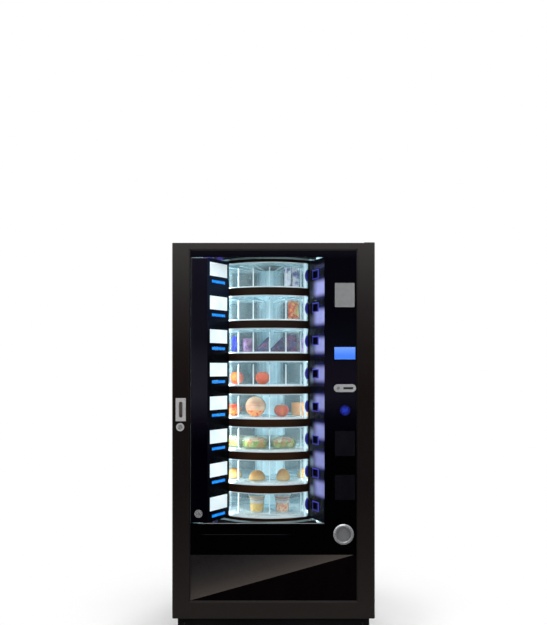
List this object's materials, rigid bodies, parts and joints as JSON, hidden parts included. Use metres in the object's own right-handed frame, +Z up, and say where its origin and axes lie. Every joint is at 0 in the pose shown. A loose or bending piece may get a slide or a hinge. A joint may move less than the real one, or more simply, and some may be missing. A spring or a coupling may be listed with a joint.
{
  "type": "carousel snack vending machine",
  "caption": "Upright refrigerated carousel vending machine with stacked turning drums behind curved sliding doors, a label door and a payment column.",
  "frame": {"origin": "centre of the overall footprint at floor level", "axes": "+Z up, -Y out of the front face, +X to the right seen from the front"},
  "size_m": [0.89, 0.87, 1.83],
  "materials": {
    "casing_panels": "satin black powder coat",
    "back_panel": "dark grey powder coat",
    "base_frame": "black powder coat",
    "kick_plate": "black powder coat",
    "levelling_feet": "black nylon and rubber",
    "insulated_cell": "white liner over foam",
    "compressor": "black enamel",
    "condenser_unit": "mill-finish fins",
    "evaporator_coil": "mill-finish fins",
    "refrigerant_pipes": "drawn copper",
    "column_bearings": "turned steel",
    "gear_motor": "grey painted casting",
    "control_box": "light grey powder coat",
    "power_inlet": "black moulding",
    "hinge_brackets": "zinc plated",
    "condenser_fan": "black moulding",
    "evaporator_fan": "black moulding",
    "drive_column": "anodised tube",
    "drive_gear": "natural nylon",
    "drum_dividers": "translucent white moulding",
    "drive_pinion": "machined brass",
    "door_frame": "satin black powder coat",
    "front_panel": "black gloss",
    "lower_panel": "black gloss with a grey flash",
    "display_module": "blue lit screen",
    "coin_bezel": "satin chrome",
    "blank_covers": "black gloss",
    "return_cup": "satin chrome",
    "handle_plate": "satin chrome",
    "door_rails": "dark brown",
    "side_mask": "dark, lit from behind",
    "release_frames": "dark with lit blue edges",
    "lamp_tubes": "lit tube",
    "coin_mechanism": "dark grey moulding",
    "door_gasket": "black magnetic seal",
    "select_button": "blue",
    "reject_button": "satin chrome",
    "return_flap": "dark satin steel",
    "handle_lever": "satin steel",
    "lock_cylinder": "nickel plated",
    "label_door": "black gloss",
    "price_displays": "blue lit bar",
    "label_lock_ring": "nickel plated",
    "label_lock": "nickel plated",
    "drum_1": "white moulding",
    "drum_2": "white moulding",
    "drum_3": "white moulding",
    "drum_4": "white moulding",
    "drum_5": "white moulding",
    "drum_6": "white moulding",
    "drum_7": "white moulding",
    "drum_8": "white moulding",
    "vend_door_1": "clear plastic with a dark blue pull",
    "vend_door_2": "clear plastic with a dark blue pull",
    "vend_door_3": "clear plastic with a dark blue pull",
    "vend_door_4": "clear plastic with a dark blue pull",
    "vend_door_5": "clear plastic with a dark blue pull",
    "vend_door_6": "clear plastic with a dark blue pull",
    "vend_door_7": "clear plastic with a dark blue pull",
    "vend_door_8": "clear plastic with a dark blue pull"
  },
  "bodies": {
    "cabinet": {"casing_panels": "casing_panels", "back_panel": "back_panel", "base_frame": "base_frame", "kick_plate": "kick_plate", "levelling_feet": "levelling_feet", "insulated_cell": "insulated_cell", "compressor": "compressor", "condenser_unit": "condenser_unit", "evaporator_coil": "evaporator_coil", "refrigerant_pipes": "refrigerant_pipes", "column_bearings": "column_bearings", "gear_motor": "gear_motor", "control_box": "control_box", "power_inlet": "power_inlet", "hinge_brackets": "hinge_brackets"},
    "condenser_fan": {"condenser_fan": "condenser_fan"},
    "evaporator_fan": {"evaporator_fan": "evaporator_fan"},
    "carousel": {"drive_column": "drive_column", "drive_gear": "drive_gear", "drum_dividers": "drum_dividers", "drum_1": "drum_1", "drum_2": "drum_2", "drum_3": "drum_3", "drum_4": "drum_4", "drum_5": "drum_5", "drum_6": "drum_6", "drum_7": "drum_7", "drum_8": "drum_8"},
    "pinion": {"drive_pinion": "drive_pinion"},
    "main_door": {"door_frame": "door_frame", "front_panel": "front_panel", "lower_panel": "lower_panel", "display_module": "display_module", "coin_bezel": "coin_bezel", "blank_covers": "blank_covers", "return_cup": "return_cup", "handle_plate": "handle_plate", "door_rails": "door_rails", "side_mask": "side_mask", "release_frames": "release_frames", "lamp_tubes": "lamp_tubes", "coin_mechanism": "coin_mechanism", "door_gasket": "door_gasket"},
    "select_button": {"select_button": "select_button"},
    "reject_button": {"reject_button": "reject_button"},
    "return_flap": {"return_flap": "return_flap"},
    "handle_lever": {"handle_lever": "handle_lever"},
    "lock_cylinder": {"lock_cylinder": "lock_cylinder"},
    "label_door": {"label_door": "label_door", "price_displays": "price_displays", "label_lock_ring": "label_lock_ring"},
    "label_lock": {"label_lock": "label_lock"},
    "vend_door_1": {"vend_door_1": "vend_door_1"},
    "vend_door_2": {"vend_door_2": "vend_door_2"},
    "vend_door_3": {"vend_door_3": "vend_door_3"},
    "vend_door_4": {"vend_door_4": "vend_door_4"},
    "vend_door_5": {"vend_door_5": "vend_door_5"},
    "vend_door_6": {"vend_door_6": "vend_door_6"},
    "vend_door_7": {"vend_door_7": "vend_door_7"},
    "vend_door_8": {"vend_door_8": "vend_door_8"}
  },
  "joints": [
    {"name": "carousel_turn", "type": "hinge", "parent": "cabinet", "child": "carousel", "pos_m": [-0.018, -0.01, 0.6], "axis": [0, 0, 1], "continuous": true},
    {"name": "pinion_turn", "type": "hinge", "parent": "cabinet", "child": "pinion", "pos_m": [-0.178, -0.01, 0.48], "axis": [0, 0, 1], "continuous": true},
    {"name": "condenser_fan_turn", "type": "hinge", "parent": "cabinet", "child": "condenser_fan", "pos_m": [0.19, -0.23, 0.315], "axis": [0, 1, 0], "continuous": true},
    {"name": "evaporator_fan_turn", "type": "hinge", "parent": "cabinet", "child": "evaporator_fan", "pos_m": [0.3122, 0.3402, 1.14], "axis": [0, 0, 1], "continuous": true},
    {"name": "main_door_swing", "type": "hinge", "parent": "cabinet", "child": "main_door", "pos_m": [0.43, -0.4, 1], "axis": [0, 0, 1], "range_deg": [0, 110]},
    {"name": "select_button_push", "type": "slide", "parent": "main_door", "child": "select_button", "axis": [0, 1, 0], "range_m": [0, 0.004], "stiffness_N_per_m": 500, "springref_m": -0.002},
    {"name": "reject_button_push", "type": "slide", "parent": "main_door", "child": "reject_button", "axis": [0, 1, 0], "range_m": [0, 0.003], "stiffness_N_per_m": 300, "springref_m": -0.002},
    {"name": "return_flap_swing", "type": "hinge", "parent": "main_door", "child": "return_flap", "pos_m": [0.308, -0.4125, 0.5775], "axis": [1, 0, 0], "range_deg": [0, 25]},
    {"name": "handle_lever_pull", "type": "hinge", "parent": "main_door", "child": "handle_lever", "pos_m": [-0.4065, -0.421, 1.0635], "axis": [1, 0, 0], "range_deg": [0, 35], "stiffness_Nm_per_rad": 0.6, "springref_deg": -17.19},
    {"name": "lock_turn", "type": "hinge", "parent": "main_door", "child": "lock_cylinder", "pos_m": [-0.409, -0.43, 1.017], "axis": [0, 1, 0], "range_deg": [0, 90]},
    {"name": "label_door_swing", "type": "hinge", "parent": "main_door", "child": "label_door", "pos_m": [-0.359, -0.415, 1.18], "axis": [0, 0, -1], "range_deg": [0, 80]},
    {"name": "label_lock_turn", "type": "hinge", "parent": "label_door", "child": "label_lock", "pos_m": [-0.32983, -0.42, 0.635], "axis": [0, 1, 0], "range_deg": [0, 90]},
    {"name": "vend_door_1_slide", "type": "hinge", "parent": "main_door", "child": "vend_door_1", "pos_m": [-0.018, -0.01, 1.6975], "axis": [0, 0, -1], "range_deg": [0, 30]},
    {"name": "vend_door_2_slide", "type": "hinge", "parent": "main_door", "child": "vend_door_2", "pos_m": [-0.018, -0.01, 1.5485], "axis": [0, 0, -1], "range_deg": [0, 30]},
    {"name": "vend_door_3_slide", "type": "hinge", "parent": "main_door", "child": "vend_door_3", "pos_m": [-0.018, -0.01, 1.3995], "axis": [0, 0, -1], "range_deg": [0, 30]},
    {"name": "vend_door_4_slide", "type": "hinge", "parent": "main_door", "child": "vend_door_4", "pos_m": [-0.018, -0.01, 1.2505], "axis": [0, 0, -1], "range_deg": [0, 30]},
    {"name": "vend_door_5_slide", "type": "hinge", "parent": "main_door", "child": "vend_door_5", "pos_m": [-0.018, -0.01, 1.1015], "axis": [0, 0, -1], "range_deg": [0, 30]},
    {"name": "vend_door_6_slide", "type": "hinge", "parent": "main_door", "child": "vend_door_6", "pos_m": [-0.018, -0.01, 0.9525], "axis": [0, 0, -1], "range_deg": [0, 30]},
    {"name": "vend_door_7_slide", "type": "hinge", "parent": "main_door", "child": "vend_door_7", "pos_m": [-0.018, -0.01, 0.8035], "axis": [0, 0, -1], "range_deg": [0, 30]},
    {"name": "vend_door_8_slide", "type": "hinge", "parent": "main_door", "child": "vend_door_8", "pos_m": [-0.018, -0.01, 0.6545], "axis": [0, 0, -1], "range_deg": [0, 30]}
  ],
  "couplings": [
    {"joint": "pinion_turn", "follows": "carousel_turn", "ratio": -3}
  ]
}
